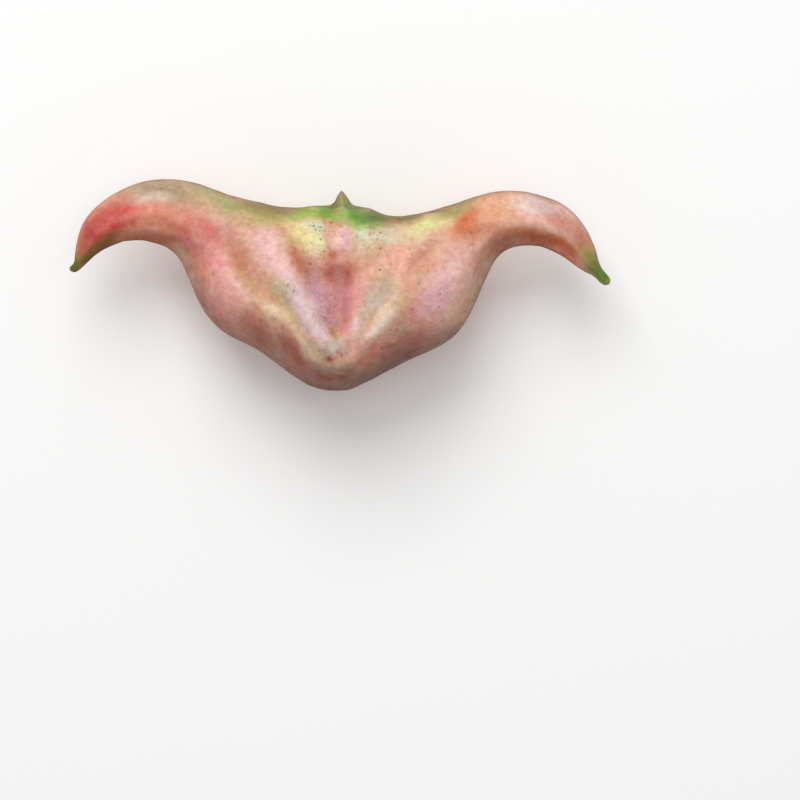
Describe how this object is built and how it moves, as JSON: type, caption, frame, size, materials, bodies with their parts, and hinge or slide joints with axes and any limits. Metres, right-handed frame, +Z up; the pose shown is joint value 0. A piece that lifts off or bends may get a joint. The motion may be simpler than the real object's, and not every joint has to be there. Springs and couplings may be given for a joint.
{
  "type": "water caltrop",
  "caption": "Fresh water caltrop fruit: a ridged pink and cream body with curved horns and a small green crown, lying on its back.",
  "frame": {"origin": "on the surface it rests on, below the middle of its outline", "axes": "+X from horn to horn, +Y from the stalk scar to the crown, +Z up out of the face that shows"},
  "size_m": [0.0722, 0.0286, 0.0208],
  "materials": {
    "skin": "fresh fruit skin, waxy and softly glossy, blushed pink over cream and green"
  },
  "bodies": {
    "root": {"fruit": "skin"}
  },
  "joints": []
}
